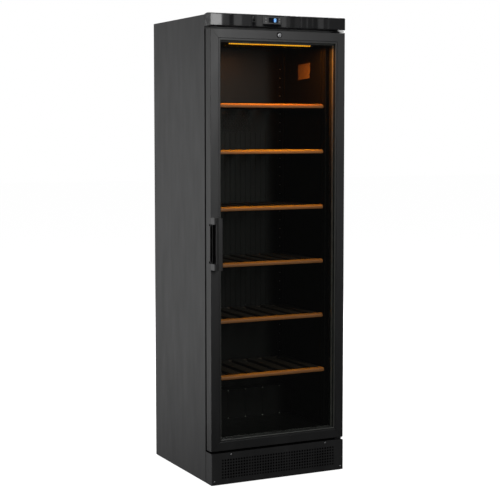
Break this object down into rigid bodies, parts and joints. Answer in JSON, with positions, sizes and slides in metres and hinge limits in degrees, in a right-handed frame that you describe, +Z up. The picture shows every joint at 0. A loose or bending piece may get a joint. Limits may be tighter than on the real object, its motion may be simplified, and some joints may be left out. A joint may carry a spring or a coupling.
{
  "type": "wine cooler",
  "caption": "Tall free-standing wine cooler with a glass door hung on the right, slatted shelves with wooden fronts, a lit cavity and a fascia with switch and display.",
  "frame": {"origin": "on the floor, under the middle of the bounding box", "axes": "+Z up, the door faces -Y, +X to the right of a person facing the door"},
  "size_m": [0.595, 0.615, 1.845],
  "materials": {
    "cabinet_steel": "satin",
    "zinc_steel": "satin",
    "foam": "matte",
    "liner_plastic": "gloss",
    "kick_steel": "satin",
    "roller_plastic": "matte",
    "foot_steel": "satin",
    "fascia_gloss": "gloss",
    "black_plastic": "satin",
    "switch_gloss": "gloss",
    "controller_gloss": "gloss",
    "display": "gloss",
    "door_frame": "satin",
    "glass": "gloss",
    "aluminium": "satin",
    "gasket_rubber": "matte",
    "handle_plastic": "satin",
    "lock_chrome": "polished",
    "led_light": "satin",
    "compressor_paint": "satin",
    "screw_steel": "polished",
    "button_mark": "satin",
    "shelf_wood": "satin",
    "rack_wood": "satin"
  },
  "bodies": {
    "cabinet": {"side_panel_left": "cabinet_steel", "side_panel_right": "cabinet_steel", "top_panel": "cabinet_steel", "back_panel": "zinc_steel", "insulation": "foam", "inner_liner": "liner_plastic", "base_frame": "zinc_steel", "kick_plate": "kick_steel", "fascia": "fascia_gloss", "switch_housing": "black_plastic", "controller_bezel": "controller_gloss", "display_lens": "display", "hinge_bracket_bottom": "zinc_steel", "hinge_bracket_top": "zinc_steel", "led_bar": "led_light", "duct_cover": "liner_plastic", "evaporator": "aluminium", "evaporator_fan_motor": "zinc_steel", "compressor": "compressor_paint", "drip_tray": "black_plastic", "condenser": "aluminium", "mains_inlet": "black_plastic", "kick_screw_1": "screw_steel", "kick_screw_2": "screw_steel", "kick_screw_3": "screw_steel", "kick_screw_4": "screw_steel"},
    "door": {"door_stile_left": "door_frame", "door_rail_top": "door_frame", "door_stile_right": "door_frame", "door_rail_bottom": "door_frame", "glass_outer": "glass", "glass_inner": "glass", "glass_spacer": "aluminium", "door_gasket": "gasket_rubber", "door_handle": "handle_plastic", "lock_housing": "black_plastic"},
    "lock": {"lock_barrel": "lock_chrome"},
    "power_switch": {"switch_rocker": "switch_gloss"},
    "evaporator_fan": {"evaporator_fan": "black_plastic"},
    "condenser_fan": {"condenser_fan": "black_plastic"},
    "foot_left": {"levelling_foot_left": "foot_steel"},
    "foot_right": {"levelling_foot_right": "foot_steel"},
    "roller_left": {"roller_left": "roller_plastic"},
    "roller_right": {"roller_right": "roller_plastic"},
    "button_1": {"control_button_1": "button_mark"},
    "button_2": {"control_button_2": "button_mark"},
    "button_3": {"control_button_3": "button_mark"},
    "button_4": {"control_button_4": "button_mark"},
    "shelf_1": {"shelf_front_1": "shelf_wood", "shelf_rack_1": "rack_wood"},
    "shelf_2": {"shelf_front_2": "shelf_wood", "shelf_rack_2": "rack_wood"},
    "shelf_3": {"shelf_front_3": "shelf_wood", "shelf_rack_3": "rack_wood"},
    "shelf_4": {"shelf_front_4": "shelf_wood", "shelf_rack_4": "rack_wood"},
    "shelf_5": {"shelf_front_5": "shelf_wood", "shelf_rack_5": "rack_wood"},
    "shelf_6": {"shelf_front_6": "shelf_wood", "shelf_rack_6": "rack_wood"}
  },
  "joints": [
    {"name": "door_hinge", "type": "hinge", "parent": "cabinet", "child": "door", "pos_m": [0.279, -0.2425, 0.9615], "axis": [0, 0, 1], "range_deg": [0, 110]},
    {"name": "lock_turn", "type": "hinge", "parent": "door", "child": "lock", "pos_m": [0, -0.2425, 1.7664], "axis": [0, 1, 0], "range_deg": [0, 90]},
    {"name": "shelf_1_slide", "type": "slide", "parent": "cabinet", "child": "shelf_1", "axis": [0, -1, 0], "range_m": [0, 0.027]},
    {"name": "shelf_2_slide", "type": "slide", "parent": "cabinet", "child": "shelf_2", "axis": [0, -1, 0], "range_m": [0, 0.027]},
    {"name": "shelf_3_slide", "type": "slide", "parent": "cabinet", "child": "shelf_3", "axis": [0, -1, 0], "range_m": [0, 0.027]},
    {"name": "shelf_4_slide", "type": "slide", "parent": "cabinet", "child": "shelf_4", "axis": [0, -1, 0], "range_m": [0, 0.027]},
    {"name": "shelf_5_slide", "type": "slide", "parent": "cabinet", "child": "shelf_5", "axis": [0, -1, 0], "range_m": [0, 0.027]},
    {"name": "shelf_6_slide", "type": "slide", "parent": "cabinet", "child": "shelf_6", "axis": [0, -1, 0], "range_m": [-0.014, 0.013]},
    {"name": "power_switch_rock", "type": "hinge", "parent": "cabinet", "child": "power_switch", "pos_m": [-0.111, -0.259, 1.825], "axis": [1, 0, 0], "range_deg": [0, 16]},
    {"name": "button_1_press", "type": "slide", "parent": "cabinet", "child": "button_1", "axis": [0, 1, 0], "range_m": [0, 0.0008], "stiffness_N_per_m": 250},
    {"name": "button_2_press", "type": "slide", "parent": "cabinet", "child": "button_2", "axis": [0, 1, 0], "range_m": [0, 0.0008], "stiffness_N_per_m": 250},
    {"name": "button_3_press", "type": "slide", "parent": "cabinet", "child": "button_3", "axis": [0, 1, 0], "range_m": [0, 0.0008], "stiffness_N_per_m": 250},
    {"name": "button_4_press", "type": "slide", "parent": "cabinet", "child": "button_4", "axis": [0, 1, 0], "range_m": [0, 0.0008], "stiffness_N_per_m": 250},
    {"name": "evaporator_fan_spin", "type": "hinge", "parent": "cabinet", "child": "evaporator_fan", "pos_m": [0.008, 0.1925, 1.44], "axis": [0, 1, 0], "continuous": true},
    {"name": "condenser_fan_spin", "type": "hinge", "parent": "cabinet", "child": "condenser_fan", "pos_m": [0, -0.1285, 0.069], "axis": [0, 1, 0], "continuous": true},
    {"name": "foot_left_turn", "type": "hinge", "parent": "cabinet", "child": "foot_left", "pos_m": [-0.25, -0.1675, 0.015], "axis": [0, 0, 1], "continuous": true},
    {"name": "foot_right_turn", "type": "hinge", "parent": "cabinet", "child": "foot_right", "pos_m": [0.25, -0.1675, 0.015], "axis": [0, 0, 1], "continuous": true},
    {"name": "roller_left_roll", "type": "hinge", "parent": "cabinet", "child": "roller_left", "pos_m": [-0.24, 0.2625, 0.017], "axis": [1, 0, 0], "continuous": true},
    {"name": "roller_right_roll", "type": "hinge", "parent": "cabinet", "child": "roller_right", "pos_m": [0.24, 0.2625, 0.017], "axis": [1, 0, 0], "continuous": true}
  ]
}
